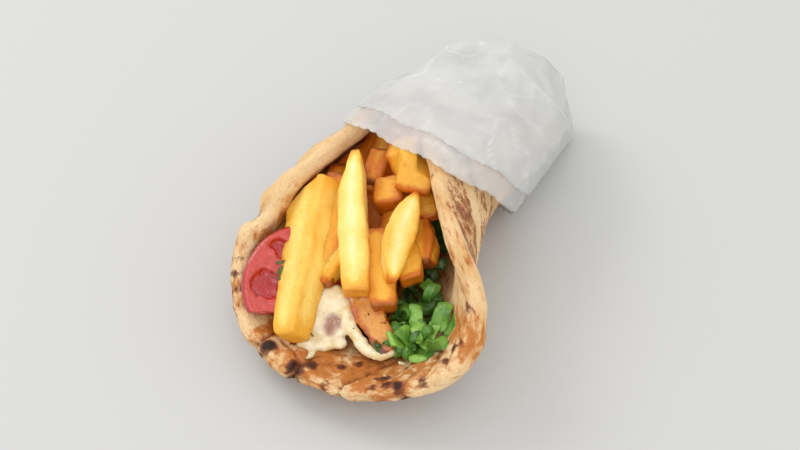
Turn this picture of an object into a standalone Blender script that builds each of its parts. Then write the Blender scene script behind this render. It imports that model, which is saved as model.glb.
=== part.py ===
"""Pork pita wrap: a round pita rolled into a cone round fries, pork, tomato, lettuce
and a white sauce, with its tail tucked into a folded paper sleeve.

The roll lies on its back along Y: the mouth opens towards -Y, the paper tail ends at
+Y, and +Z is up. The pita is first a flat round disc. A point of it is named by y, its
place along the roll, and by across, its distance over the bread from the bottom line of
the roll (towards +X where positive). roll() bends that disc into the cone.
"""
import math

import bmesh
import bpy
from mathutils import Matrix, Quaternion, Vector

MM = 0.001
GAP = 0.5        # mm left between two fillings that touch
WALL_GAP = 1.0   # mm left between a filling and the bread's inner face

# Pita, as a flat round
PITA_RADIUS = 88.0
PITA_THICKNESS = 8.5
BOTTOM_LINE_OFFSET = 9.0   # the bottom line of the roll lies this far from the bread's middle
REST_HALF_WIDTH = 9.0      # half width of the strip that the roll rests on
PITA_SPOKES = 72
PITA_RINGS = 22
RIM_RINGS = 3              # of the rings between the middle and the rim, those on the round rim

# The roll, by stations along Y: radius of each flank, sideways drift and lift of the bottom
STATION_Y = (-88, -60, -30, 0, 30, 60, 88)
LEFT_RADIUS = (60.5, 47.0, 33.5, 28.0, 25.0, 25.0, 25.5)
RIGHT_RADIUS = (73.5, 54.5, 37.0, 31.0, 25.0, 26.5, 29.5)
DRIFT = (1.5, 5.5, 2.0, 0.0, 3.0, 9.0, 14.5)
LIFT = (12.0, 3.5, 0.0, 0.3, 1.4, 1.4, 1.4)

# The filling's top: a slope that rises from the lip of the mouth to the top of the roll
SLOPE_START = (-68.0, 12.0)  # y and z at the lip
SLOPE_RISE = 0.55            # z gained for each mm of y
FILLING_STATIONS = (-60, -54, -46, -38, -29, -20, -10, 0, 10, 22, 36, 50, 64)
WIDEST_TURN = math.radians(140)

# Fries that stand proud of the bundle: the middles of their two ends, width and depth
FRIES = (
    ((-27, -11, 47), (-9, -72, 22), 14.0, 13.0, 35),
    ((-19, -5, 46), (-8, -48, 28), 12.0, 12.0, 0),
    ((-14, 1, 54), (10, -51, 36), 11.0, 11.0, 10),
    ((-6, -20, 41), (-5, -47, 30), 10.0, 10.0, 0),
    ((17, -11, 54), (21, -42, 40), 12.0, 10.0, -10),
    ((7, -23, 40), (21, -50, 31), 11.0, 11.0, 0),
)

FRY_STATIONS = 7
EASED = 0.8      # share of a bar's half width at which its edge is cut off
FRY_SECTION = (
    (-1, -EASED), (-EASED, -1), (EASED, -1), (1, -EASED), (1, EASED), (EASED, 1), (-EASED, 1), (-1, EASED),
)

# Tomato: a thin slice leaning on the left flank, its lower edge and inner side cut off
TOMATO_CENTRE = (-12.5, -51.5, 28.5)
TOMATO_FACING = (0.42, -0.32, 0.85)
TOMATO_RADIUS = 24.5
TOMATO_THICKNESS = 5.0
TOMATO_INNER_CUT = ((3.5, 0, 0), (1, 0.1, 0))          # a point of the cut's plane and its normal,
TOMATO_LOWER_CUT = ((0, -12.5, 0), (-0.25, -1, 0))     # from the slice's own middle

# Pork: one flat strip, from the mouth back through the roll
PORK_PATH = (
    (27, -61.5, 20), (15, -52.5, 24), (4, -43, 26), (0, -28, 25), (-1, -8, 24), (1, 14, 24), (4, 38, 25),
)
PORK_WIDTH = 13.0
PORK_THICKNESS = 6.5

# Sauce: a thick drip over the lip, and a bead along the pork's lower edge
SAUCE_DRIP = ((-3, -53, 21.5), (10.0, 6.5, 16.0), 24)  # middle, half sizes, slope in degrees
SAUCE_BEAD = ((13, -60.5, 18.5), (17.0, 4.5, 3.5), -24)  # middle, half sizes, turn in degrees

# Lettuce: shredded leaves along the lower right of the roll
LETTUCE_SPLIT = (30.0, 13.0)   # x of its inner side, at the mouth and in the tail
LETTUCE_OVER_SLOPE = 5.0
LETTUCE_TOP_MOST = 37.0
LETTUCE_STATIONS = (-64, -56, -47, -38, -28, -16, -2, 14, 30, 46)

# Paper sleeve: a tube round the pita's tail, drawn out to a folded blunt end
PAPER_THICKNESS = 0.8
PAPER_EASE = 1.5               # from the pita's outer face to the paper's outer face
PAPER_RINGS = (-6, 8, 20, 32, 45, 58, 70, 76, 81, 85, 88)
PAPER_RING_STEPS = 16
PAPER_TAIL = (
    (-3, 85, 57), (18, 97, 55), (32, 105, 44), (39, 111, 30), (43, 112, 14), (48, 108, 0),
    (35, 54, 0), (-20, 104, 0), (-29, 92, 22), (-20, 83, 38), (-27, 60, 38),
)
PAPER_FRONT_TOP = (-2, 12, 56)     # three points of the sleeve's slanting front edge
PAPER_FRONT_LEFT = (-34, 39, 30)
PAPER_FRONT_RIGHT = (38, 23, 30)


def through(values, y):
    """A smooth line through one value for each station, without overshoot."""
    last = len(STATION_Y) - 1
    y = min(max(y, STATION_Y[0]), STATION_Y[last])
    i = next(k for k in range(last) if y <= STATION_Y[k + 1])
    steps = [STATION_Y[k + 1] - STATION_Y[k] for k in range(last)]
    rises = [(values[k + 1] - values[k]) / steps[k] for k in range(last)]

    def slope(k):
        if k in (0, last):
            return rises[0 if k == 0 else -1]
        before, after = rises[k - 1], rises[k]
        if before * after <= 0:
            return 0.0
        return 2 * before * after / (before + after)

    t = (y - STATION_Y[i]) / steps[i]
    start = (1 + 2 * t) * (1 - t) ** 2 * values[i] + t * (1 - t) ** 2 * steps[i] * slope(i)
    end = t * t * (3 - 2 * t) * values[i + 1] + t * t * (t - 1) * steps[i] * slope(i + 1)
    return start + end


def flank_radius(side, y):
    return through(RIGHT_RADIUS if side > 0 else LEFT_RADIUS, y)


def roll(y, across, outward=0.0):
    """The place, in mm, of a point of the disc's middle surface, or one that lies outward of it."""
    side = 1 if across > 0 else -1
    radius = flank_radius(side, y)
    along = abs(across)
    turn = max(along - REST_HALF_WIDTH, 0) / radius
    x = min(along, REST_HALF_WIDTH) + (radius + outward) * math.sin(turn)
    z = radius - (radius + outward) * math.cos(turn)
    return Vector((side * x + through(DRIFT, y), y, z + through(LIFT, y) + PITA_THICKNESS / 2))


def rim_across(side, y):
    """How far over the bread the rim lies from the bottom line, at this place along the roll."""
    return BOTTOM_LINE_OFFSET + side * math.sqrt(max(PITA_RADIUS ** 2 - y * y, 0))


def kept_inside(point, gap=WALL_GAP):
    """The point, moved towards the roll's axis if it is nearer than the gap to the bread's inner face."""
    x, y, z = point
    drift = through(DRIFT, y)
    side = 1 if x > drift else -1
    radius = flank_radius(side, y)
    axis_z = through(LIFT, y) + PITA_THICKNESS / 2 + radius
    reach = radius - PITA_THICKNESS / 2 - gap
    over = abs(x - drift) - REST_HALF_WIDTH
    if over <= 0:
        return Vector((x, y, max(z, axis_z - reach)))
    away = math.hypot(over, z - axis_z)
    across = REST_HALF_WIDTH + radius * math.atan2(over, axis_z - z)
    if away <= reach or across > abs(rim_across(side, y)) + 4:
        return Vector((x, y, z))
    share = reach / away
    return Vector((drift + side * (REST_HALF_WIDTH + over * share), y, axis_z + (z - axis_z) * share))


def slope_height(y):
    return SLOPE_START[1] + SLOPE_RISE * (y - SLOPE_START[0])


def material(name, color, roughness):
    made = bpy.data.materials.new(name)
    made.use_nodes = True
    shader = made.node_tree.nodes["Principled BSDF"]
    shader.inputs["Base Color"].default_value = (*color, 1)
    shader.inputs["Roughness"].default_value = roughness
    shader.inputs["Metallic"].default_value = 0
    return made


def place(obj, name, collection, finish):
    for other in list(obj.users_collection):
        other.objects.unlink(obj)
    collection.objects.link(obj)
    obj.name = obj.data.name = name
    obj.data.materials.clear()
    obj.data.materials.append(finish)
    return obj


def object_of(mesh_build, name, collection, finish):
    mesh = bpy.data.meshes.new(name)
    bmesh.ops.recalc_face_normals(mesh_build, faces=mesh_build.faces)
    mesh_build.to_mesh(mesh)
    mesh_build.free()
    return place(bpy.data.objects.new(name, mesh), name, collection, finish)


def loft(rings):
    """A closed skin over rings of equally many points, in mm."""
    built = bmesh.new()
    rows = [[built.verts.new(Vector(p) * MM) for p in ring] for ring in rings]
    count = len(rows[0])
    for row, after in zip(rows, rows[1:]):
        for i in range(count):
            j = (i + 1) % count
            built.faces.new((row[i], row[j], after[j], after[i]))
    built.faces.new(rows[0])
    built.faces.new(rows[-1])
    bmesh.ops.triangulate(built, faces=[f for f in built.faces if len(f.verts) > 4])
    return built


def boolean(obj, other, operation):
    """Joins or cuts with the other object, which is used up.

    The bundle's bars cross each other in many places, where the exact solver loses faces.
    """
    modifier = obj.modifiers.new(operation.lower(), "BOOLEAN")
    modifier.operation = operation
    modifier.solver = "MANIFOLD"
    modifier.object = other
    bpy.context.view_layer.update()
    evaluated = obj.evaluated_get(bpy.context.evaluated_depsgraph_get())
    mesh = bpy.data.meshes.new_from_object(evaluated)
    obj.modifiers.clear()
    obj.data = mesh
    bpy.data.objects.remove(other)


def pita(collection, finish):
    """A flat disc with a round rim, made from a squashed sphere and bent into the cone."""
    bpy.ops.mesh.primitive_uv_sphere_add(segments=PITA_SPOKES, ring_count=PITA_RINGS, radius=1)
    disc = bpy.context.object
    half = PITA_THICKNESS / 2
    flat_share = 1 - RIM_RINGS / (PITA_RINGS / 2)
    for vertex in disc.data.vertices:
        polar = math.acos(max(-1, min(1, vertex.co.z))) / (math.pi / 2)
        inward = 1 if polar <= 1 else -1
        share = polar if polar <= 1 else 2 - polar
        if share <= flat_share:
            reach, height = (PITA_RADIUS - half) * share / flat_share, half
        else:
            turn = (share - flat_share) / (1 - flat_share) * math.pi / 2
            reach, height = PITA_RADIUS - half + half * math.sin(turn), half * math.cos(turn)
        spoke = math.atan2(vertex.co.y, vertex.co.x)
        across = BOTTOM_LINE_OFFSET + reach * math.cos(spoke)
        vertex.co = roll(reach * math.sin(spoke), across, -inward * height) * MM
    disc.data.shade_smooth()
    return place(disc, "pita", collection, finish)


def wall_turn(side, y, height, gap):
    """The turn, from the bottom, at which the bread's inner face reaches this height."""
    radius = flank_radius(side, y)
    reach = radius - PITA_THICKNESS / 2 - gap
    axis_z = through(LIFT, y) + PITA_THICKNESS / 2 + radius
    to_rim = (abs(rim_across(side, y)) - REST_HALF_WIDTH - 2) / radius
    return min(math.acos(max(-1, min(1, (axis_z - height) / reach))), to_rim, WIDEST_TURN)


def wall_point(side, y, turn, gap):
    radius = flank_radius(side, y)
    return roll(y, side * (REST_HALF_WIDTH + radius * turn), -(PITA_THICKNESS / 2 + gap))


def fries_core():
    """The body of the bundle: it fills the roll up to the slope, with a ridged top."""
    rings = []
    steps = 7
    for y in FILLING_STATIONS:
        top = slope_height(y)
        turns = {side: wall_turn(side, y, top, WALL_GAP) for side in (-1, 1)}
        left = [wall_point(-1, y, turns[-1] * (1 - i / steps), WALL_GAP) for i in range(steps + 1)]
        right = [wall_point(1, y, turns[1] * i / steps, WALL_GAP) for i in range(steps + 1)]
        lid = []
        for i in range(1, 8):
            at = right[-1].lerp(left[0], i / 8)
            ridge = 2.5 if i % 2 else -1.0
            lid.append(at + Vector((0, 0, ridge)))
        rings.append(left + right + lid)
    return loft(rings)


def fry(ends, width, depth, twist):
    """One fry: a straight bar with eased edges, which gives way where it meets the bread."""
    start, end = (Vector(p) for p in ends)
    turn = (end - start).to_track_quat("Z", "Y") @ Quaternion((0, 0, 1), math.radians(twist))
    rings = []
    for i in range(FRY_STATIONS + 1):
        middle = start.lerp(end, i / FRY_STATIONS)
        ring = []
        for x, y in FRY_SECTION:
            ring.append(kept_inside(middle + turn @ Vector((x * width / 2, y * depth / 2, 0))))
        rings.append(ring)
    mesh = bpy.data.meshes.new("fry")
    built = loft(rings)
    bmesh.ops.recalc_face_normals(built, faces=built.faces)
    built.to_mesh(mesh)
    built.free()
    bar = bpy.data.objects.new("fry", mesh)
    bpy.context.scene.collection.objects.link(bar)
    return bar


def grown(obj, gap):
    """A copy that stands off the object by the gap all over, to cut its neighbours with."""
    copy = bpy.data.objects.new(obj.name + "_cutter", obj.data.copy())
    bpy.context.scene.collection.objects.link(copy)
    built = bmesh.new()
    built.from_mesh(copy.data)
    bmesh.ops.recalc_face_normals(built, faces=built.faces)
    built.normal_update()
    shifts = [(v, v.normal * v.calc_shell_factor()) for v in built.verts]
    for vertex, shift in shifts:
        vertex.co += shift * gap * MM
    built.to_mesh(copy.data)
    built.free()
    return copy


def tomato(collection, finish):
    bpy.ops.mesh.primitive_cylinder_add(vertices=40, radius=TOMATO_RADIUS * MM, depth=TOMATO_THICKNESS * MM)
    slice_ = bpy.context.object
    built = bmesh.new()
    built.from_mesh(slice_.data)
    for point, normal in (TOMATO_INNER_CUT, TOMATO_LOWER_CUT):
        cut = bmesh.ops.bisect_plane(
            built, geom=built.verts[:] + built.edges[:] + built.faces[:],
            plane_co=Vector(point) * MM, plane_no=normal, clear_outer=True)
        edges = [e for e in cut["geom_cut"] if isinstance(e, bmesh.types.BMEdge)]
        bmesh.ops.holes_fill(built, edges=edges)
    facing = Vector(TOMATO_FACING).normalized()
    right = Vector((0, 1, 0)).cross(facing).normalized()
    up = facing.cross(right)
    turn = Matrix((right, up, facing)).transposed().to_4x4()
    middle = Vector(TOMATO_CENTRE) - facing * TOMATO_THICKNESS / 2
    bmesh.ops.transform(built, matrix=Matrix.Translation(middle * MM) @ turn, verts=built.verts)
    for vertex in built.verts:
        vertex.co = kept_inside(vertex.co / MM) * MM
    bpy.data.objects.remove(slice_)
    return object_of(built, "tomato_slice", collection, finish)


def pork(collection, finish):
    """A flat strip along a bent path, its section a rounded oblong."""
    path = [Vector(p) for p in PORK_PATH]
    rings = []
    for i, point in enumerate(path):
        along = (path[min(i + 1, len(path) - 1)] - path[max(i - 1, 0)]).normalized()
        wide = along.cross(Vector((0, -0.45, 1))).normalized()
        thick = wide.cross(along)
        end = 0.8 if i == 0 else 1
        ring = []
        for k in range(12):
            angle = 2 * math.pi * (k + 0.5) / 12
            c, s = math.cos(angle), math.sin(angle)
            u = math.copysign(abs(c) ** 0.45, c) * PORK_WIDTH / 2 * end
            v = math.copysign(abs(s) ** 0.45, s) * PORK_THICKNESS / 2 * end
            ring.append(kept_inside(point + wide * u + thick * v))
        rings.append(ring)
    return object_of(loft(rings), "pork_strip", collection, finish)


def lump(middle, half_sizes, turn):
    bpy.ops.mesh.primitive_uv_sphere_add(segments=20, ring_count=12, radius=1)
    ball = bpy.context.object
    for vertex in ball.data.vertices:
        size = Vector(half_sizes)
        moved = turn @ Vector((vertex.co.x * size.x, vertex.co.y * size.y, vertex.co.z * size.z))
        vertex.co = kept_inside(moved + Vector(middle)) * MM
    return ball


def sauce(collection, finish):
    middle, half_sizes, slope = SAUCE_DRIP
    x, thick, long = half_sizes
    tilt = Matrix.Rotation(math.radians(slope), 3, "X")
    drip = lump(middle, (x, long, thick), tilt)
    middle, half_sizes, turn = SAUCE_BEAD
    bead = lump(middle, half_sizes, Matrix.Rotation(math.radians(turn), 3, "Z"))
    boolean(drip, bead, "UNION")
    return place(drip, "sauce", collection, finish)


def lettuce(collection, finish):
    rings = []
    steps = 7
    for y in LETTUCE_STATIONS:
        share = (y - LETTUCE_STATIONS[0]) / (LETTUCE_STATIONS[-1] - LETTUCE_STATIONS[0])
        split = LETTUCE_SPLIT[0] + (LETTUCE_SPLIT[1] - LETTUCE_SPLIT[0]) * min(1, 1.6 * share)
        top = min(slope_height(y) + LETTUCE_OVER_SLOPE, LETTUCE_TOP_MOST - 12 * share)
        far = wall_turn(1, y, top, WALL_GAP)
        radius = flank_radius(1, y)
        inner = split - through(DRIFT, y) - REST_HALF_WIDTH
        near = math.asin(min(0.9, max(0, inner) / (radius - PITA_THICKNESS / 2 - WALL_GAP)))
        near = min(near, far - 0.15)
        wall = [wall_point(1, y, near + (far - near) * i / steps, WALL_GAP) for i in range(steps + 1)]
        lid = []
        for i in range(1, 6):
            at = wall[-1].lerp(Vector((wall[0].x, y, top)), i / 5)
            lid.append(at + Vector((0, 0, (1.5 if i % 2 else -1.0) if i < 5 else 0)))
        rings.append(wall + lid)
    return object_of(loft(rings), "lettuce", collection, finish)


def islands(built):
    """The separate closed skins of a mesh, each with the volume it encloses."""
    left = set(built.faces)
    found = []
    while left:
        queue = [left.pop()]
        skin = list(queue)
        while queue:
            touching = {f for edge in queue.pop().edges for f in edge.link_faces} & left
            left -= touching
            queue += touching
            skin += touching
        volume = sum(a.dot(b.cross(c)) for a, b, c in ([v.co for v in f.verts] for f in skin)) / 6
        found.append((volume, skin))
    return found


def keep_largest(obj):
    """Drops crumbs and closes pockets that the cuts and joins left."""
    built = bmesh.new()
    built.from_mesh(obj.data)
    bmesh.ops.triangulate(built, faces=built.faces)
    found = islands(built)
    largest = max(volume for volume, _ in found)
    for volume, skin in found:
        if volume < largest:
            bmesh.ops.delete(built, geom=skin, context="FACES")
    built.to_mesh(obj.data)
    built.free()


def fries(collection, finish, neighbours):
    core = object_of(fries_core(), "fries", collection, finish)
    for start, end, width, depth, twist in FRIES:
        boolean(core, fry((start, end), width, depth, twist), "UNION")
    for other in neighbours:
        boolean(core, grown(other, GAP), "DIFFERENCE")
    keep_largest(core)
    return core


def paper(collection, finish):
    """The sleeve's outer face is the taut hull of the pita's tail and the folded end's corners."""
    built = bmesh.new()
    for y in PAPER_RINGS:
        for side in (-1, 1):
            radius = flank_radius(side, y)
            reach = min(REST_HALF_WIDTH + radius * math.pi, abs(rim_across(side, y)))
            for step in range(PAPER_RING_STEPS + 1):
                across = side * reach * step / PAPER_RING_STEPS
                point = roll(y, across, PITA_THICKNESS / 2 + PAPER_EASE)
                built.verts.new(Vector((point.x, y, max(point.z, 0))) * MM)
    for corner in PAPER_TAIL:
        built.verts.new(Vector(corner) * MM)
    hull = bmesh.ops.convex_hull(built, input=built.verts)
    spare = {g for g in hull["geom_interior"] + hull["geom_unused"] if isinstance(g, bmesh.types.BMVert)}
    bmesh.ops.delete(built, geom=list(spare), context="VERTS")
    top, left, right = (Vector(p) for p in (PAPER_FRONT_TOP, PAPER_FRONT_LEFT, PAPER_FRONT_RIGHT))
    normal = (left - top).cross(right - top).normalized()
    if normal.y > 0:
        normal.negate()
    bmesh.ops.bisect_plane(
        built, geom=built.verts[:] + built.edges[:] + built.faces[:],
        plane_co=top * MM, plane_no=normal, clear_outer=True)
    sleeve = object_of(built, "paper_wrap", collection, finish)
    wall = sleeve.modifiers.new("wall", "SOLIDIFY")
    wall.thickness = PAPER_THICKNESS * MM
    wall.offset = -1
    wall.use_even_offset = True
    return sleeve


def centre_on_origin(objects):
    """Shifts every mesh so that the origin is the middle of the whole object's underside."""
    bpy.context.view_layer.update()
    graph = bpy.context.evaluated_depsgraph_get()
    corners = []
    for obj in objects:
        evaluated = obj.evaluated_get(graph).to_mesh()
        corners += [v.co.copy() for v in evaluated.vertices]
    low = [min(c[i] for c in corners) for i in range(3)]
    high = [max(c[i] for c in corners) for i in range(3)]
    shift = Vector((-(low[0] + high[0]) / 2, -(low[1] + high[1]) / 2, -low[2]))
    for obj in objects:
        obj.data.transform(Matrix.Translation(shift))
    print("shift to the origin, mm:", [round(s / MM, 2) for s in shift])


def main():
    for obj in list(bpy.data.objects):
        bpy.data.objects.remove(obj)
    parts = bpy.data.collections.new("pork_pita_wrap")
    bpy.context.scene.collection.children.link(parts)
    bread = pita(parts, material("pita_bread", (0.80, 0.62, 0.38), 0.8))
    slice_ = tomato(parts, material("tomato", (0.60, 0.05, 0.03), 0.3))
    meat = pork(parts, material("pork", (0.55, 0.22, 0.06), 0.4))
    leaves = lettuce(parts, material("lettuce", (0.16, 0.36, 0.05), 0.45))
    white = sauce(parts, material("sauce", (0.80, 0.74, 0.58), 0.25))
    boolean(white, grown(meat, GAP), "DIFFERENCE")
    boolean(leaves, grown(meat, GAP), "DIFFERENCE")
    boolean(leaves, grown(white, GAP), "DIFFERENCE")
    bundle = fries(parts, material("fries", (0.80, 0.47, 0.10), 0.55), (slice_, meat, white, leaves))
    boolean(slice_, grown(white, GAP), "DIFFERENCE")
    sleeve = paper(parts, material("paper", (0.86, 0.86, 0.84), 0.6))
    centre_on_origin([bread, slice_, meat, leaves, white, bundle, sleeve])


main()
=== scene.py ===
"""Pork pita wrap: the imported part's pieces with their real surface and finish.

Lengths named in mm are in the roll's own frame, whose Y runs from the mouth to the paper
tail and whose X = 0 is the bottom line of the roll. A point of the bread is named by y and
by across, its distance over the bread from that line.
"""
import math

import bmesh
import bpy
import numpy as np
from bpy.props import FloatProperty, FloatVectorProperty, IntProperty, PointerProperty
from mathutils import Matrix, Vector
from mathutils.bvhtree import BVHTree


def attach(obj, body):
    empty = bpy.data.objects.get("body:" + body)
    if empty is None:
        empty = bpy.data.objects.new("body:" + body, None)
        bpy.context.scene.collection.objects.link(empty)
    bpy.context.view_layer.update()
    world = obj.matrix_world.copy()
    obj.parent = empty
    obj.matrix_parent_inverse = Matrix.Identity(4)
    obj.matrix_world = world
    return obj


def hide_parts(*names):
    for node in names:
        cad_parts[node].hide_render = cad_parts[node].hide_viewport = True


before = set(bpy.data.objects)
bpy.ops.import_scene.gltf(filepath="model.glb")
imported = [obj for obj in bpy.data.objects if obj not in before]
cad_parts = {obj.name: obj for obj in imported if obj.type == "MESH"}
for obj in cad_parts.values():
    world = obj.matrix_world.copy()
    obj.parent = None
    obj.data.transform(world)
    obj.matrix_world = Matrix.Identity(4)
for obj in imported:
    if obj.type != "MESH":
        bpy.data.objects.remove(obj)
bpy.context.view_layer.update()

bl_info = {
    "name": "Pork pita wrap",
    "version": (1, 0, 0),
    "blender": (4, 5, 0),
    "location": "3D View > Sidebar > Pita wrap",
    "description": "Builds a pork pita wrap with fries in a paper sleeve",
    "category": "Object",
}

MM = 0.001
SHIFT = np.array((-9.82, -12.0, 0.0))      # from the roll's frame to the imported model's

# The bread and the roll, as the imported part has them
PITA_RADIUS = 88.0
PITA_THICKNESS = 8.5
BOTTOM_LINE_OFFSET = 9.0
REST_HALF_WIDTH = 9.0
STATION_Y = np.array((-88.0, -60, -30, 0, 30, 60, 88))
LEFT_RADIUS = np.array((60.5, 47.0, 33.5, 28.0, 25.0, 25.0, 25.5))
RIGHT_RADIUS = np.array((73.5, 54.5, 37.0, 31.0, 25.0, 26.5, 29.5))
DRIFT = np.array((1.5, 5.5, 2.0, 0.0, 3.0, 9.0, 14.5))
LIFT = np.array((12.0, 3.5, 0.0, 0.3, 1.4, 1.4, 1.4))
SLOPE_START = (-68.0, 12.0)
SLOPE_RISE = 0.55


def srgb(red, green, blue):
    """A colour named by its screen bytes, as the linear values that sockets take."""
    return tuple((c / 255 / 12.92 if c <= 10 else ((c / 255 + 0.055) / 1.055) ** 2.4) for c in (red, green, blue))


# ---------------------------------------------------------------- the roll

def through(values, y):
    """A smooth line through one value for each station, without overshoot."""
    y = np.clip(y, STATION_Y[0], STATION_Y[-1])
    steps = np.diff(STATION_Y)
    rises = np.diff(values) / steps
    before, after = rises[:-1], rises[1:]
    with np.errstate(divide="ignore", invalid="ignore"):
        inner = np.where(before * after > 0, 2 * before * after / (before + after), 0.0)
    slopes = np.concatenate(((rises[0],), inner, (rises[-1],)))
    i = np.clip(np.searchsorted(STATION_Y, y, side="left") - 1, 0, len(steps) - 1)
    step = steps[i]
    t = (y - STATION_Y[i]) / step
    start = (1 + 2 * t) * (1 - t) ** 2 * values[i] + t * (1 - t) ** 2 * step * slopes[i]
    end = t * t * (3 - 2 * t) * values[i + 1] + t * t * (t - 1) * step * slopes[i + 1]
    return start + end


def flank_radius(right, y):
    return np.where(right, through(RIGHT_RADIUS, y), through(LEFT_RADIUS, y))


def roll(y, across, outward):
    """The place of a point that lies this far outward of the disc's middle surface."""
    radius = flank_radius(across > 0, y)
    side = np.where(across > 0, 1.0, -1.0)
    along = np.abs(across)
    turn = np.maximum(along - REST_HALF_WIDTH, 0) / radius
    x = np.minimum(along, REST_HALF_WIDTH) + (radius + outward) * np.sin(turn)
    z = radius - (radius + outward) * np.cos(turn)
    return np.stack((side * x + through(DRIFT, y), y, z + through(LIFT, y) + PITA_THICKNESS / 2), -1)


def kept_inside(points, gap=1.0):
    """The points, those nearer than the gap to the bread's inner face moved to it."""
    x, y, z = points.T
    drift = through(DRIFT, y)
    side = np.where(x > drift, 1.0, -1.0)
    radius = flank_radius(x > drift, y)
    axis_z = through(LIFT, y) + PITA_THICKNESS / 2 + radius
    reach = radius - PITA_THICKNESS / 2 - gap
    over = np.abs(x - drift) - REST_HALF_WIDTH
    away = np.hypot(np.maximum(over, 0), z - axis_z)
    share = np.where(away > reach, reach / np.maximum(away, 1e-6), 1.0)
    half = np.sqrt(np.maximum(PITA_RADIUS ** 2 - y * y, 0))
    rim = np.abs(BOTTOM_LINE_OFFSET + side * half)
    across = REST_HALF_WIDTH + radius * np.arctan2(over, axis_z - z)
    beyond = (across > rim + 4) & (over > 0)
    share = np.where(beyond, 1.0, share)
    new_x = np.where(over > 0, drift + side * (REST_HALF_WIDTH + over * share), x)
    new_z = np.where(over > 0, axis_z + (z - axis_z) * share, np.maximum(z, axis_z - reach))
    return np.stack((new_x, y, new_z), -1)


def slope_height(y):
    return SLOPE_START[1] + SLOPE_RISE * (y - SLOPE_START[0])


# ---------------------------------------------------------------- shaping tools

def rough(points, size, seed, octaves=3):
    """Smooth random relief between about -1 and 1, whose bumps are this many mm wide."""
    table = np.random.default_rng(seed).uniform(-1, 1, (32, 32, 32))
    place = points / size + 200.0
    total, amount, norm = 0.0, 1.0, 0.0
    for _ in range(octaves):
        cell = np.floor(place).astype(int)
        part = place - cell
        part = part * part * (3 - 2 * part)
        value = 0.0
        for corner in np.ndindex(2, 2, 2):
            weight = np.prod(np.where(corner, part, 1 - part), axis=-1)
            index = (cell + corner) % 32
            value = value + weight * table[index[:, 0], index[:, 1], index[:, 2]]
        total = total + value * amount
        norm += amount
        amount *= 0.5
        place = place * 2.03 + 7.7
    return total / norm * 1.6


def step_between(value, low, high):
    t = np.clip((value - low) / (high - low), 0, 1)
    return t * t * (3 - 2 * t)


def line_distance(points, line):
    """The distance of each point from a bent line of points."""
    best = np.full(len(points), 1e9)
    for start, end in zip(line, line[1:]):
        start, end = np.array(start, float), np.array(end, float)
        along = end - start
        t = np.clip(((points - start) @ along) / (along @ along), 0, 1)
        best = np.minimum(best, np.linalg.norm(points - start - t[:, None] * along, axis=1))
    return best


def clear_selection():
    if bpy.context.object and bpy.context.object.mode != "OBJECT":
        bpy.ops.object.mode_set(mode="OBJECT")
    bpy.ops.object.select_all(action="DESELECT")


def pick(obj):
    """Selects this object alone and makes it the active one."""
    clear_selection()
    obj.select_set(True)
    bpy.context.view_layer.objects.active = obj


def ball(segments, rings):
    """A unit ball primitive, the start of every closed soft piece."""
    clear_selection()
    bpy.ops.mesh.primitive_uv_sphere_add(segments=segments, ring_count=rings, radius=1)
    return bpy.context.object


def points_of(obj):
    points = np.zeros(len(obj.data.vertices) * 3)
    obj.data.vertices.foreach_get("co", points)
    return points.reshape(-1, 3)


def as_disc(points, radius, thickness):
    """A unit ball's points as a flat round with a half-round edge: top side or not, reach, height and spoke."""
    polar = np.arccos(np.clip(points[:, 2], -1, 1)) / (math.pi / 2)
    top = polar <= 1
    half = thickness / 2
    flat_length = radius - half
    arc = np.where(top, polar, 2 - polar) * (flat_length + half * math.pi / 2)
    turn = np.maximum(arc - flat_length, 0) / half
    reach = np.where(turn > 0, flat_length + half * np.sin(turn), arc)
    height = np.where(turn > 0, half * np.cos(turn), half) * np.where(top, 1, -1)
    return top, reach, height, np.arctan2(points[:, 1], points[:, 0])


def set_points(obj, points_mm):
    """Places the vertices, named in mm in the roll's frame."""
    obj.data.vertices.foreach_set("co", ((points_mm + SHIFT) * MM).ravel())
    obj.data.update()


def normals_of(obj):
    normals = np.zeros(len(obj.data.vertices) * 3)
    obj.data.vertex_normals.foreach_get("vector", normals)
    return normals.reshape(-1, 3)


def raise_by(obj, amount_mm):
    """Moves each vertex outward along its normal."""
    set_points(obj, points_of(obj) / MM - SHIFT + normals_of(obj) * np.asarray(amount_mm)[:, None])


def paint(obj, name, values):
    """Stores a value, or a vector, for each vertex for the piece's material to read."""
    values = np.asarray(values, float)
    kind = "FLOAT" if values.ndim == 1 else "FLOAT_VECTOR"
    layer = obj.data.attributes.get(name) or obj.data.attributes.new(name, kind, "POINT")
    layer.data.foreach_set("value" if kind == "FLOAT" else "vector", values.ravel())


def modified(obj, kind, **settings):
    pick(obj)
    modifier = obj.modifiers.new(kind.lower(), kind)
    for key, value in settings.items():
        setattr(modifier, key, value)
    bpy.ops.object.modifier_apply(modifier=modifier.name)
    return obj


def joined(objects, name):
    clear_selection()
    for obj in objects:
        obj.select_set(True)
    bpy.context.view_layer.objects.active = objects[0]
    if len(objects) > 1:
        bpy.ops.object.join()
    whole = bpy.context.view_layer.objects.active
    whole.name = whole.data.name = name
    return whole


def finished(obj, name, look, node=None):
    """Names the piece, smooths it, gives it its material and ties it to the frame."""
    obj.name = obj.data.name = name
    obj.data.materials.clear()
    obj.data.materials.append(look)
    pick(obj)
    bpy.ops.object.shade_smooth()
    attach(obj, "root")
    if node:
        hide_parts(node)
    return obj


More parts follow.
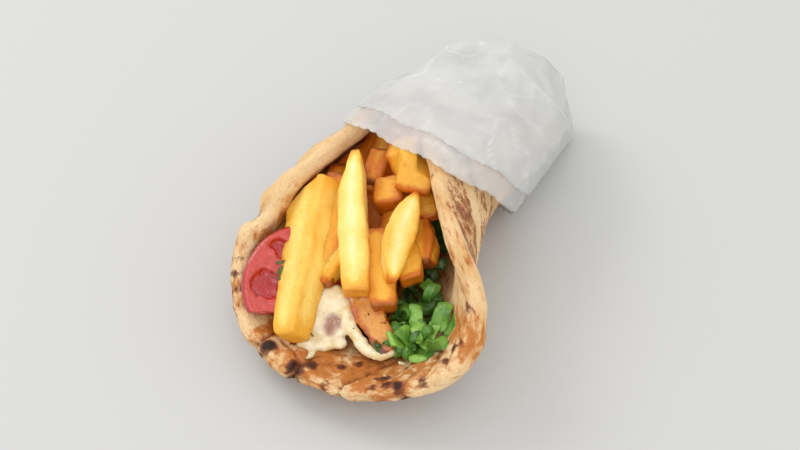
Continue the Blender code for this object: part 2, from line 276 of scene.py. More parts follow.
def swept(path, widths, depths, corner=5.0, twist=0.0, bend=(0, 0, 0), segments=36, rings=40, end=1.6):
    """A closed bar along a path: oblong in section, its ends blunt with eased edges.

    Returns the object with each vertex's place, the share along it, and its angle.
    """
    bar = ball(segments, rings)
    points = points_of(bar)
    polar = np.arccos(np.clip(points[:, 2], -1, 1)) / math.pi
    angle = np.arctan2(points[:, 1], points[:, 0])
    path = np.array(path, float)
    spans = np.concatenate(((0,), np.cumsum(np.linalg.norm(np.diff(path, axis=0), axis=1))))
    length = spans[-1]
    end = min(end, length / 4)
    cap = 3.0 / rings                       # share of the rings on each end's face
    ease = 5.0 / rings
    profile_at = np.array((0, cap, (cap + ease) / 2 + cap / 4, ease + cap / 2))
    profile_in = np.array((0, 0.05, 0.3, 1.0)) * end / length
    profile_wide = np.array((0, 0.82, 0.95, 1.0))
    half = np.minimum(polar, 1 - polar)
    inset = np.where(half < profile_at[-1], np.interp(half, profile_at, profile_in),
                     profile_in[-1] + (half - profile_at[-1]) / (0.5 - profile_at[-1]) * (0.5 - profile_in[-1]))
    wide = np.interp(half, profile_at, profile_wide)
    along = np.where(polar < 0.5, inset, 1 - inset)
    knots = np.linspace(0, 1, len(widths))
    width = np.interp(along, knots, widths) * wide / 2
    depth = np.interp(along, np.linspace(0, 1, len(depths)), depths) * wide / 2

    def place(share):
        at = np.stack([np.interp(share * length, spans, path[:, k]) for k in range(3)], -1)
        return at + np.outer(np.sin(np.clip(share, 0, 1) * math.pi), bend)

    soft = 0.06
    middle = (place(np.clip(along - soft, 0, 1)) + place(along) * 2 + place(np.clip(along + soft, 0, 1))) / 4
    middle += (place(along) - middle) * np.clip(1 - np.minimum(along, 1 - along) / soft, 0, 1)[:, None]
    heading = place(np.clip(along + 0.08, 0, 1)) - place(np.clip(along - 0.08, 0, 1))
    heading /= np.linalg.norm(heading, axis=1)[:, None]
    lift = np.array((0.0, 0, 1)) - heading * heading[:, 2:3]
    lift /= np.linalg.norm(lift, axis=1)[:, None]
    across = np.cross(lift, heading)
    c, s = np.cos(angle), np.sin(angle)
    round_off = (np.abs(c) ** corner + np.abs(s) ** corner) ** (-1 / corner)
    turn = math.radians(twist)
    a, b = c * round_off * width, s * round_off * depth
    a, b = a * math.cos(turn) - b * math.sin(turn), a * math.sin(turn) + b * math.cos(turn)
    placed = middle + across * a[:, None] + lift * b[:, None]
    set_points(bar, placed)
    edge = np.abs(c * s * 2) ** 2
    near_end = step_between(np.minimum(along, 1 - along) * length, 3.5, 0.4)
    return bar, placed, along, angle, np.maximum(edge, near_end)


# ---------------------------------------------------------------- materials

class Finish:
    """A procedural material, with short names for the nodes that the pieces share."""

    def __init__(self, name, **constants):
        self.material = bpy.data.materials.new(name)
        self.material.use_nodes = True
        self.tree = self.material.node_tree
        self.shader = self.tree.nodes["Principled BSDF"]
        self.normal = None
        self.place = self.add("TexCoord").outputs["Object"]
        for socket, value in constants.items():
            self.shader.inputs[socket.replace("_", " ")].default_value = value

    def add(self, kind, values=None, **settings):
        made = self.tree.nodes.new("ShaderNode" + kind)
        for key, value in settings.items():
            setattr(made, key, value)
        for key, value in (values or {}).items():
            if isinstance(value, bpy.types.NodeSocket):
                self.tree.links.new(value, made.inputs[key])
            else:
                made.inputs[key].default_value = value
        return made

    def painted(self, name):
        return self.add("Attribute", attribute_name=name).outputs["Fac"]

    def painted_place(self, name):
        return self.add("Attribute", attribute_name=name).outputs["Vector"]

    def noise(self, size, detail=3.0, roughness=0.55, warp=0.0, at=None):
        values = {"Vector": at or self.place, "Scale": 1000 / size, "Detail": detail,
                  "Roughness": roughness, "Distortion": warp}
        return self.add("TexNoise", values).outputs["Fac"]

    def cells(self, size, at=None, feature="F1", uneven=1.0):
        values = {"Vector": at or self.place, "Scale": 1000 / size, "Randomness": uneven}
        return self.add("TexVoronoi", values, feature=feature).outputs["Distance"]

    def stretched(self, scale, at=None):
        return self.add("Mapping", {"Vector": at or self.place, "Scale": scale}).outputs["Vector"]

    def math(self, operation, a, b=0.0):
        made = self.add("Math", {0: a, 1: b}, operation=operation)
        return made.outputs[0]

    def swayed(self, value, noise, amount, middle=0.5):
        """The value with this much of a noise added, counted from the noise's middle."""
        return self.math("ADD", value, self.math("MULTIPLY", self.math("SUBTRACT", noise, middle), amount))

    def span(self, value, low, high, out_low=0.0, out_high=1.0):
        made = self.add("MapRange", {"Value": value, "From Min": low, "From Max": high,
                                     "To Min": out_low, "To Max": out_high}, interpolation_type="SMOOTHSTEP")
        return made.outputs["Result"]

    def mix(self, share, a, b, blend="MIX"):
        made = self.add("Mix", data_type="RGBA", blend_type=blend)
        for index, value in ((0, share), (6, a), (7, b)):
            if isinstance(value, bpy.types.NodeSocket):
                self.tree.links.new(value, made.inputs[index])
            elif index == 0:
                made.inputs[0].default_value = value
            else:
                made.inputs[index].default_value = (*value[:3], 1)
        return made.outputs[2]

    def relief(self, height, depth_mm):
        values = {"Height": height, "Distance": depth_mm * MM, "Strength": 1.0}
        if self.normal:
            values["Normal"] = self.normal
        self.normal = self.add("Bump", values).outputs["Normal"]
        self.tree.links.new(self.normal, self.shader.inputs["Normal"])

    def feed(self, socket, value):
        self.tree.links.new(value, self.shader.inputs[socket])


def bread_look(settings):
    look = Finish("pita_bread", Subsurface_Weight=0.12, Subsurface_Scale=0.003, Specular_IOR_Level=0.35)
    look.shader.inputs["Subsurface Radius"].default_value = (1.0, 0.55, 0.3)
    flat = look.painted_place("flat")
    broad = look.noise(16, 3, 0.5, at=flat)
    mottle = look.noise(4.5, 5, 0.62, 0.3, at=flat)
    fine = look.noise(1.3, 5, 0.65, at=flat)
    crumb = look.mix(look.span(broad, 0.35, 0.7), settings.pale, settings.cream)
    crumb = look.mix(look.span(fine, 0.45, 0.75, 0, 0.35), crumb, settings.toast)
    heat = look.swayed(look.painted("toast"), mottle, 2.1)
    heat = look.swayed(heat, broad, 1.2)
    colour = look.mix(look.span(heat, 0.18, 0.75), crumb, settings.toast)
    colour = look.mix(look.span(heat, 0.8, 1.5, 0, 0.9), colour, settings.brown)
    pits = look.cells(2.6, at=flat)
    speckled = look.math("ADD", look.math("MULTIPLY", mottle, 0.75), look.math("MULTIPLY", fine, 0.6))
    grilled = look.swayed(look.painted("grill"), speckled, 4.0, middle=0.72)
    colour = look.mix(look.span(grilled, 0.25, 0.8, 0, 0.85), colour, settings.grill)
    colour = look.mix(look.span(grilled, 0.85, 1.5, 0, 0.7), colour, settings.brown)
    burnt = look.swayed(look.painted("char"), mottle, 1.5)
    colour = look.mix(look.span(burnt, 0.28, 0.7, 0, 0.9), colour, settings.brown)
    colour = look.mix(look.span(burnt, 0.66, 1.05, 0, 0.92), colour, settings.char)
    # Painted shade in the cracks: their grooves darkened towards the grilled colour.
    colour = look.mix(look.span(look.painted("crack_shade"), 0.25, 1.0, 0, 0.75), colour, settings.grill)
    look.feed("Base Color", colour)
    look.feed("Roughness", look.span(heat, 0.2, 1.0, 0.82, 0.5))
    look.relief(look.noise(7, 4, 0.6, at=flat), 0.9)
    look.relief(fine, 0.35)
    look.relief(look.span(pits, 0.0, 0.35), 0.18)
    return look.material


def fries_look(settings):
    look = Finish("fried_potato", Subsurface_Weight=0.2, Subsurface_Scale=0.003, Specular_IOR_Level=0.5)
    look.shader.inputs["Subsurface Radius"].default_value = (1.0, 0.6, 0.15)
    patch = look.noise(9, 3, 0.5)
    grain = look.noise(1.6, 5, 0.62)
    fine = look.noise(0.5, 3, 0.6)
    fried = look.swayed(look.painted("fried"), patch, 0.45)
    fried = look.swayed(fried, grain, 0.3)
    # Fried values below zero give the floury colour: partly a paler potato tone, partly a painted highlight where
    # these fries are lit.
    colour = look.mix(look.span(fried, -0.4, 0.05), settings.floury_and_lit, settings.pale)
    colour = look.mix(look.span(fried, 0.0, 0.42), colour, settings.golden)
    colour = look.mix(look.span(fried, 0.4, 0.85), colour, settings.orange)
    colour = look.mix(look.span(fried, 0.85, 1.3), colour, settings.brown)
    specks = look.cells(2.2)
    dots = look.math("MULTIPLY", look.span(specks, 0.1, 0.04), look.span(look.noise(5, 2), 0.5, 0.62))
    colour = look.mix(look.math("MULTIPLY", dots, 0.5), colour, settings.brown)
    look.feed("Base Color", colour)
    look.feed("Roughness", look.span(grain, 0.3, 0.7, 0.34, 0.55))
    look.relief(grain, 0.4)
    look.relief(fine, 0.12)
    return look.material


def tomato_look(settings):
    look = Finish("tomato_flesh", Subsurface_Weight=0.2, Subsurface_Scale=0.003, Coat_Weight=0.6,
                  Coat_Roughness=0.12, Specular_IOR_Level=0.6)
    look.shader.inputs["Subsurface Radius"].default_value = (1.0, 0.25, 0.15)
    cell = look.noise(2.4, 4, 0.6)
    beads = look.cells(1.1)
    pulp = look.painted("pulp")
    flesh = look.mix(look.span(cell, 0.4, 0.7), settings.flesh, settings.deep)
    colour = look.mix(pulp, flesh, settings.pulp)
    colour = look.mix(look.painted("skin"), colour, settings.skin)
    # Painted highlight: small pale glints in the flesh colour, away from the seed pulp, as if wet and lit.
    painted_glints = look.math("MULTIPLY", look.span(beads, 0.2, 0.08), look.math("SUBTRACT", 1.0, pulp))
    colour = look.mix(look.math("MULTIPLY", painted_glints, 0.2), colour, settings.painted_glint)
    look.feed("Base Color", colour)
    look.feed("Roughness", look.span(pulp, 0.0, 1.0, 0.32, 0.12))
    look.relief(look.span(beads, 0.0, 0.5), 0.22)
    look.relief(look.noise(3.5, 3), 0.5)
    return look.material


def pork_look(settings):
    look = Finish("browned_pork", Subsurface_Weight=0.12, Subsurface_Scale=0.002, Coat_Weight=0.7,
                  Coat_Roughness=0.15, Specular_IOR_Level=0.6)
    fibre = look.noise(1.5, 4, 0.6, 0.6, at=look.stretched((1, 0.3, 1)))
    patch = look.noise(5, 4, 0.6, 0.8)
    done = look.swayed(look.painted("seared"), patch, 1.1)
    colour = look.mix(look.span(done, 0.15, 0.6), settings.golden, settings.orange)
    colour = look.mix(look.span(done, 0.6, 1.1), colour, settings.brown)
    colour = look.mix(look.span(done, 1.05, 1.5), colour, settings.seared)
    colour = look.mix(look.span(fibre, 0.5, 0.75, 0, 0.4), colour, settings.brown)
    look.feed("Base Color", colour)
    look.feed("Roughness", look.span(patch, 0.3, 0.7, 0.22, 0.45))
    look.relief(fibre, 0.7)
    look.relief(patch, 0.9)
    return look.material


def lettuce_look(settings):
    look = Finish("lettuce_leaf", Subsurface_Weight=0.15, Subsurface_Scale=0.002, Specular_IOR_Level=0.5,
                  Coat_Weight=0.35, Coat_Roughness=0.2)
    look.shader.inputs["Subsurface Radius"].default_value = (0.4, 1.0, 0.15)
    patch = look.noise(6, 3, 0.5)
    vein = look.noise(1.6, 4, 0.6, 1.2)
    # The shade attribute with the patch noise is partly random tone and partly painted light and shade: low values
    # give the deep leaf colour as painted shade, high ones the bright leaf colour as painted light.
    shade = look.swayed(look.painted("shade"), patch, 0.8)
    colour = look.mix(look.span(shade, 0.0, 0.5), settings.deep, settings.leaf)
    colour = look.mix(look.span(shade, 0.5, 1.0), colour, settings.bright)
    colour = look.mix(look.span(vein, 0.55, 0.72, 0, 0.35), colour, settings.rib)
    colour = look.mix(look.span(look.painted("rib"), 0.5, 1.0, 0, 0.8), colour, settings.rib)
    look.feed("Base Color", colour)
    look.feed("Roughness", look.span(patch, 0.3, 0.7, 0.28, 0.42))
    look.relief(vein, 0.5)
    look.relief(look.noise(3.2, 2), 0.6)
    return look.material


def sauce_look(settings):
    look = Finish("white_sauce", Subsurface_Weight=0.35, Subsurface_Scale=0.003, Coat_Weight=0.8,
                  Coat_Roughness=0.08, Specular_IOR_Level=0.6, Roughness=0.25)
    look.shader.inputs["Subsurface Radius"].default_value = (1.0, 0.8, 0.5)
    patch = look.noise(5, 3, 0.5)
    colour = look.mix(look.span(patch, 0.35, 0.7), settings.cream, settings.oily)
    colour = look.mix(look.painted("thin"), colour, settings.stained)
    specks = look.math("MULTIPLY", look.span(look.cells(3.4), 0.13, 0.08), look.span(look.noise(4, 2), 0.52, 0.58))
    colour = look.mix(specks, colour, settings.herb)
    look.feed("Base Color", colour)
    look.relief(look.noise(2.6, 3, 0.5), 0.2)
    return look.material


def paper_look(settings):
    look = Finish("greaseproof_paper", Roughness=0.55, Specular_IOR_Level=0.35)
    cloud = look.noise(14, 4, 0.55, 0.4)
    fibre = look.noise(0.9, 4, 0.6)
    colour = look.mix(look.span(cloud, 0.35, 0.7), settings.white, settings.grey)
    look.feed("Base Color", colour)
    see_through = look.swayed(settings.cover, cloud, 0.12)
    look.feed("Alpha", look.math("MINIMUM", look.math("ADD", see_through, look.painted("fold")), 1.0))
    look.relief(fibre, 0.05)
    look.relief(look.noise(5, 4, 0.6, 0.8), 0.35)
    return look.material


def plain_look(name, colour, roughness, second=None, size=2.0):
    look = Finish(name, Roughness=roughness)
    patch = look.noise(size, 3, 0.5)
    look.feed("Base Color", look.mix(look.span(patch, 0.35, 0.65), colour, second or colour))
    look.relief(patch, 0.2)
    return look.material


# ---------------------------------------------------------------- pita

# Cracks that the bend opened at the lip: (y, across) points, half width, depth and the faces they cut
CRACKS = (
    (((-88, -30), (-78, -26), (-70, -25), (-65, -28)), 1.0, 2.4),
    (((-90, -5), (-84, -4.5), (-79, -4), (-73, -3)), 1.0, 3.0),
    (((-80, -6), (-76, -12), (-73, -20)), 0.8, 1.0),
    (((-92, 16), (-85, 17), (-79, 18), (-75, 21), (-71, 22), (-65, 25)), 0.9, 2.3),
    (((-82, 42), (-75, 43), (-69, 43)), 0.8, 0.9),
    (((-70, 60), (-64, 60), (-60, 66)), 0.9, 1.3),
    (((-56, 56), (-60, 50), (-63, 52)), 0.9, 1.1),
)
# Where the left flank is pinched: line, half width and depth
DENTS = (
    (((-24, -48), (-30, -60), (-38, -72), (-46, -80)), 3.6, 3.2),
    (((-8, -76), (-14, -66), (-24, -56)), 4.5, 1.2),
)
# Spots of heat: y, across, reach in mm, strength, and 1 for the inner face, -1 for the outer, 0 for both
CHAR_SPOTS = (
    (-79, -21, 3.4, 1.3, 0), (-84, -4, 4.2, 1.25, 0), (-81, 0, 3.2, 1.0, 0), (-74, 9, 2.6, 0.8, 1),
    (-75, 31, 3.0, 1.1, 1), (-80, 35, 3.2, 1.0, 0), (-80, 40, 2.6, 1.15, 0), (-77, 28, 2.2, 0.8, 1),
    (-62, 63, 3.0, 1.15, 1), (-66, 58, 2.5, 0.9, 1), (-57, 50, 3.0, 0.9, 1), (-60, 68, 2.4, 0.7, 0),
    (-8, -53, 3.0, 1.1, -1), (-22, -64, 2.6, 0.85, -1), (-16, -58, 2.0, 0.6, -1), (4, -60, 1.6, 0.5, -1),
    (-53, -60, 2.0, 0.6, 0), (-58, -56, 2.2, 0.7, 0), (-62, -50, 2.2, 0.65, 0), (-67, -44, 2.0, 0.7, 0),
    (-80, 20, 2.2, 0.65, 0), (-83, 30, 2.5, 0.6, 0), (-86, 10, 2.4, 0.6, 0), (-72, -14, 2.4, 0.65, 1),
    (-69, 14, 2.6, 0.75, 1), (-66, 36, 2.6, 0.7, 1), (-76, 50, 3.2, 0.65, 1), (-50, 76, 3.0, 0.75, 0),
    (-7, 97, 1.1, 0.9, -1), (-12, 96, 0.9, 0.8, -1), (12, 95, 1.1, 0.7, -1), (-20, 93, 0.9, 0.6, -1),
)
TOAST_SPOTS = (
    (-76, 0, 16, 0.9, 1), (-72, 22, 17, 0.95, 1), (-70, -26, 12, 0.75, 1), (-68, 45, 15, 0.75, 1),
    (-58, 66, 15, 0.7, 1), (-66, -46, 11, 0.6, 0), (-50, -62, 9, 0.5, 0), (-40, 80, 16, 0.35, 1),
    (-20, -62, 11, 0.35, -1), (4, -58, 9, 0.3, -1), (-84, 12, 12, 0.5, 0), (-80, 34, 12, 0.6, 0),
    (-79, -18, 10, 0.6, 0), (-30, 20, 40, 0.5, 1), (-56, 70, 9, 0.6, 0), (-30, 94, 10, 0.35, 0),
    (-10, -56, 20, 0.75, 1), (-44, -54, 15, 0.75, 1), (-30, -64, 8, 0.6, 0), (-60, -50, 9, 0.6, 0),
)
GRILL_PITCH = 20.0     # mm between the grill's brown bands
GRILL_BAND = 6.2       # half width of a band
GRILL_MIDDLE = 44.0    # a band's distance from the disc's middle, along its diagonal
PITA_SEGMENTS = 300
PITA_RING_COUNT = 150


def heat_at(spots, y, across, inner):
    total = np.zeros(len(y))
    for spot_y, spot_across, reach, strength, face in spots:
        share = np.exp(-((y - spot_y) ** 2 + (across - spot_across) ** 2) / reach ** 2)
        if face:
            share = share * step_between(inner * face, -0.35, 0.35)
        total = np.maximum(total, strength * share)
    return total


def build_pita():
    bread = ball(PITA_SEGMENTS, PITA_RING_COUNT)
    pick(bread)
    bpy.ops.object.mode_set(mode="EDIT")
    bpy.ops.mesh.select_all(action="DESELECT")
    bpy.ops.object.mode_set(mode="OBJECT")
    for face in bread.data.polygons:
        x, y, z = face.center
        polar = math.acos(max(-1, min(1, z))) / (math.pi / 2)
        face.select = 0.55 < polar < 1.3 and y < -0.62 * math.hypot(x, y)
    bpy.ops.object.mode_set(mode="EDIT")
    bpy.ops.mesh.subdivide(number_cuts=1)
    bpy.ops.object.mode_set(mode="OBJECT")
    points = points_of(bread)
    points /= np.linalg.norm(points, axis=1)[:, None]
    _, reach, height, spoke = as_disc(points, PITA_RADIUS, PITA_THICKNESS)
    ring = np.stack((np.cos(spoke) * 40, np.sin(spoke) * 40, np.zeros(len(spoke))), -1)
    edge = step_between(reach, 60, PITA_RADIUS)
    reach = reach * (1 + edge * (0.010 * rough(ring, 16, 3, 2) + 0.006 * rough(ring, 5, 4, 2)))
    y, across = reach * np.sin(spoke), BOTTOM_LINE_OFFSET + reach * np.cos(spoke)
    level = height / (PITA_THICKNESS / 2)
    set_points(bread, roll(y, across, -height))
    flat = np.stack((reach * np.cos(spoke), y, height * 2.2), -1)
    flat_yx = np.stack((y, across), -1)
    lip = step_between(-y, 48, 72)
    puff = 0.75 * rough(flat, 19, 5, 2) + 0.35 * rough(flat, 6.5, 6, 3)
    puff += lip * (0.7 * rough(flat, 11, 7, 2) + 0.25 * rough(flat, 3.5, 8, 2))
    under = step_between(-level, 0.2, 0.9) * step_between(np.abs(across - 2), 22, 8)
    puff *= 1 - 0.8 * under
    crack_shade = np.zeros(len(y))
    for line, width, depth in CRACKS:
        away = line_distance(flat_yx, line)
        away = away + 0.5 * rough(flat, 2.5, 9, 1)
        groove = np.exp(-np.maximum(away, 0) ** 2 / width ** 2)
        face = np.where(level > -0.55, 1.0, step_between(level, -1.0, -0.55))
        puff += face * (0.4 * np.exp(-((away - 4.0) / 2.6) ** 2) - depth * groove)
        crack_shade = np.maximum(crack_shade, groove * face)
    for line, width, depth in DENTS:
        away = line_distance(flat_yx, line)
        hollow = np.exp(-away ** 2 / width ** 2)
        puff += -depth * hollow * np.where(level < 0.4, 1.0, -0.4) + 0.35 * depth * np.exp(
            -((away - 2 * width) / width) ** 2)
    raise_by(bread, puff)
    paint(bread, "flat", flat * MM)
    # Painted shade: the cracks' grooves, stored here to be darkened with the grilled colour.
    paint(bread, "crack_shade", crack_shade)
    paint(bread, "char", heat_at(CHAR_SPOTS, y, across, level))
    paint(bread, "toast", heat_at(TOAST_SPOTS, y, across, level))
    diagonal = (across - y) / math.sqrt(2)
    from_band = np.abs((diagonal - GRILL_MIDDLE + GRILL_PITCH / 2) % GRILL_PITCH - GRILL_PITCH / 2)
    band = step_between(from_band, GRILL_BAND + 1.6, GRILL_BAND - 1.6)
    band = np.maximum(band, step_between(diagonal, 56, 59))
    radius_wobble = reach + 1.2 * rough(flat, 9, 12, 2)
    band *= step_between(radius_wobble, 84.5, 82.0) * step_between(-level, 0.55, 0.95)
    paint(bread, "grill", band * (0.72 + 0.5 * rough(flat, 12, 13, 2)))
    return finished(bread, "pita", bread_look(bpy.context.scene.pita_wrap_bread), "pita")


# ---------------------------------------------------------------- fries

# Each fry: middles of its ends, widths along it, depth, twist, how fried it is, its edges' browning and its bow
# A fried value below zero gives the floury colour, which also stands in for light on these fries as a painted
# highlight.
FRIES = (
    (((-27, -11, 47), (-18, -42, 34.5), (-9, -74, 22.5)),
     (19.5, 18.5, 16.5, 13.5, 10.5), 14, 38, 0.04, 0.30, (0, 0, 0)),
    (((-19, -4, 46), (-8, -49, 27)), (12, 12.5, 12, 11), 12, 0, 0.46, 0.40, (1, 0, 1)),
    (((-14.5, 2, 56), (-6, -20, 49), (3, -38, 41), (10, -52, 35)),
     (3.5, 9, 11.5, 12, 12, 11), 11, 8, -0.22, 0.5, (-0.5, 0, 0.6)),
    (((-4, -18, 41), (-6.5, -35, 35), (-8.5, -49, 29.5)), (9, 11, 10.5, 8), 9.5, 12, 0.16, 0.45, (1.2, 0, 0)),
    (((17.5, -9, 55), (19, -26, 48.5), (21.5, -44, 38.5)),
     (2.5, 9, 12.5, 12.5, 9, 3.5), 9.5, -14, -0.2, 0.6, (-1.5, 0, 0.8)),
    (((5, -22, 40), (22, -51, 30)), (11, 12, 11.5, 10), 11, 6, 0.34, 0.45, (0, 0, 0)),
    (((13, -17, 41), (28, -37, 35)), (10, 12, 12, 9), 10, 12, 0.26, 0.45, (0, 0, 0)),
    (((0, 6, 55), (7, 8, 58), (13, 3, 57.5), (14, -6, 52)), (12, 14.5, 16, 14.5), 13, -10, 0.26, 0.34, (0, 0, 1)),
    (((1, 3, 44.5), (6, -10, 43)), (13, 13, 13), 12, 14, 0.42, 0.35, (0, 0, 0)),
    (((15, 2, 47), (24, -10, 44)), (6, 9, 7), 7, 16, 0.24, 0.45, (0, 0, 0)),
    (((20, -10, 40), (24, -20, 38), (27, -28, 35)), (10, 13, 12.5), 11, 22, 0.36, 0.7, (0.5, 0, 0.5)),
    (((-9, 16, 46), (-6, -2, 43.5)), (9, 10, 9), 9, 5, 0.6, 0.5, (0, 0, 0)),
    (((-24, 6, 40), (-16, -24, 37)), (10, 11, 10), 9, 10, 0.55, 0.5, (0, 0, 0)),
    (((8, -2, 38), (12, -26, 35)), (10, 11, 10), 9, 20, 0.5, 0.4, (0, 0, 0)),
    (((-16, -30, 28), (-20, -58, 20)), (9, 10, 9), 9, 10, 0.5, 0.4, (0, 0, 0)),
)
# Fries deep in the roll, seen only through gaps
BACK_FRIES = (
    ((-14, 30, 38), (-8, -4, 40)), ((4, 34, 42), (8, 0, 45)), ((14, 40, 36), (16, 6, 38)),
    ((-2, 60, 34), (2, 24, 38)), ((10, 66, 32), (12, 34, 32)), ((-10, 58, 28), (-12, 22, 30)),
    ((0, 40, 24), (0, 0, 28)), ((18, 44, 24), (16, 8, 26)),
)


def build_fries():
    settings = bpy.context.scene.pita_wrap_fries
    bars = []
    for index, (path, widths, depth, twist, fried, browning, bow) in enumerate(FRIES):
        bar, placed, along, _, edge = swept(
            path, widths, (depth * 0.9, depth, depth, depth * 0.85), 9.0, twist, bow, 56, 56, 1.6)
        placed = placed + np.stack([0.55 * rough(placed, 9, 20 + index * 3 + k, 2) for k in range(3)], -1)
        set_points(bar, kept_inside(placed, 1.2))
        raise_by(bar, 0.28 * rough(placed, 4.5, 70 + index, 2) + 0.10 * rough(placed, 1.8, 90 + index, 2))
        tips = step_between(np.minimum(along, 1 - along), 0.14, 0.02)
        paint(bar, "fried", fried + browning * edge * 0.8 + browning * tips * 0.9)
        bars.append(bar)
    for index, path in enumerate(BACK_FRIES):
        bar, placed, along, _, edge = swept(path, (9, 11, 10), (10, 11, 9), 5.5, index * 17, (1, 0, 1), 20, 20, 2.0)
        set_points(bar, kept_inside(placed, 1.5))
        paint(bar, "fried", 0.45 + 0.4 * edge + 0.1 * (index % 3))
        bars.append(bar)
    bars.append(fries_core(settings.core_drop))
    whole = joined(bars, "fries")
    return finished(whole, "fries", fries_look(settings), "fries")


def fries_core(drop):
    """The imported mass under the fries, from wall to wall, this far below the fillings' slope."""
    core = ball(72, 80)
    points = points_of(core)
    share = np.arccos(np.clip(points[:, 2], -1, 1)) / math.pi
    angle = (np.arctan2(points[:, 1], points[:, 0]) / (2 * math.pi)) % 1.0
    wide = np.interp(share, (0, 0.06, 0.94, 1), (0, 1, 1, 0))
    y = np.interp(share, (0, 0.06, 0.94, 1), (-56, -56, 66, 66))
    top = np.minimum(slope_height(y) - drop, 42.0)
    floor_z = through(LIFT, y) + PITA_THICKNESS + 1.5
    top = np.maximum(top, floor_z + 3)
    middle = np.stack((through(DRIFT, y), y, (floor_z + top) / 2), -1)
    reach_x = 60 * np.cos(angle * 2 * math.pi)
    rise = np.sin(angle * 2 * math.pi)
    height = (top - floor_z) / 2 * np.sign(rise) * np.abs(rise) ** 0.35
    placed = np.stack((middle[:, 0] + reach_x, y, middle[:, 2] + height), -1)
    for _ in range(4):
        placed = kept_inside(placed, 1.8)
    limit = np.where(placed[:, 0] > middle[:, 0], np.minimum(placed[:, 0], middle[:, 0] + 19), np.maximum(
        placed[:, 0], middle[:, 0] - 30))
    placed[:, 0] = limit
    placed = middle + (placed - middle) * wide[:, None]
    placed[:, 2] += 1.3 * rough(placed, 8, 41, 2) * (placed[:, 2] > middle[:, 2])
    set_points(core, placed)
    paint(core, "fried", np.full(len(placed), 0.95))
    return core


# ---------------------------------------------------------------- pork

PORK_PATH = ((29.5, -61.5, 20), (21, -56.5, 23.5), (12, -49, 26.5), (4, -42, 27.5), (0, -28, 27), (-1, -8, 26),
             (1, 14, 26), (4, 38, 26))


def build_pork():
    strip, placed, along, angle, edge = swept(
        PORK_PATH, (9.5, 11.5, 12.5, 13, 13, 13, 13, 12), (5, 6.5, 6.5, 6.5, 6.5), 4.0, -32, (0, 0, 0), 72, 130, 1.6)
    placed = placed + np.stack([0.6 * rough(placed, 6, 201 + k, 2) for k in range(3)], -1)
    set_points(strip, kept_inside(placed, 1.0))
    fibres = rough(placed * np.array((1, 0.5, 1)), 2.6, 210, 2)
    raise_by(strip, 0.35 * fibres + 0.25 * rough(placed, 1.6, 211, 2))
    side = step_between(np.cos(angle - math.radians(10)), 0.25, 0.8)
    mouth = step_between(along, 0.06, 0.0)
    paint(strip, "seared", 0.55 * side + 0.35 * edge * edge + 0.4 * mouth - 0.12 + 0.3 * rough(placed, 4, 212, 2))
    return finished(strip, "pork_strip", pork_look(bpy.context.scene.pita_wrap_pork), "pork_strip")


# ---------------------------------------------------------------- tomato

TOMATO_CENTRE = np.array((-12.5, -51.5, 28.5))
TOMATO_FACING = np.array((0.42, -0.32, 0.85)) / np.linalg.norm((0.42, -0.32, 0.85))
TOMATO_RADIUS = 27.0
TOMATO_THICKNESS = 4.6
TOMATO_CHAMBERS = ((-14.5, -8.5, 7.2, 6.2), (-17.5, 7.5, 5.5, 4.2), (-3, 14, 6, 5), (-2, -2, 4, 4))


def tomato_axes():
    right = np.cross((0, 1, 0), TOMATO_FACING)
    right /= np.linalg.norm(right)
    return right, np.cross(TOMATO_FACING, right)


def build_tomato():
    """A slice in its own plane: u to the right, v up it; then set against the left flank."""
    slice_ = ball(150, 90)
    points = points_of(slice_)
    top, reach, height, spoke = as_disc(points, TOMATO_RADIUS, TOMATO_THICKNESS)
    u, v = reach * np.cos(spoke), reach * np.sin(spoke)
    planar = np.stack((u, v, height * 0), -1)
    u = u * (1 + 0.012 * rough(planar, 12, 301, 2))
    cut_line = -19.5 + (u + 10) * 0.62 + 0.9 * rough(planar, 5, 302, 2)
    v = np.maximum(v, cut_line)
    pulp = np.zeros(len(u))
    for mu, mv, ru, rv in TOMATO_CHAMBERS:
        away = np.hypot((u - mu) / ru, (v - mv) / rv) + 0.22 * rough(planar, 4, 303, 2)
        pulp = np.maximum(pulp, step_between(away, 1.05, 0.8))
    height = height - np.where(top, 1, 0) * pulp * (2.2 + 0.5 * rough(planar, 2.5, 304, 2))
    bumps = 0.25 * rough(planar, 3, 305, 3) + 0.35 * (1 - pulp) * rough(planar, 9, 306, 1)
    height = height + np.where(top, 1, 0) * bumps
    skin = step_between(reach, TOMATO_RADIUS - 1.3, TOMATO_RADIUS - 0.5)
    right, up = tomato_axes()
    placed = TOMATO_CENTRE + np.outer(u, right) + np.outer(v, up) + np.outer(height - TOMATO_THICKNESS / 2, TOMATO_FACING)
    set_points(slice_, kept_inside(placed, 0.6))
    paint(slice_, "pulp", pulp)
    paint(slice_, "skin", skin)
    return finished(slice_, "tomato_slice", tomato_look(bpy.context.scene.pita_wrap_tomato), "tomato_slice")


# ---------------------------------------------------------------- lettuce

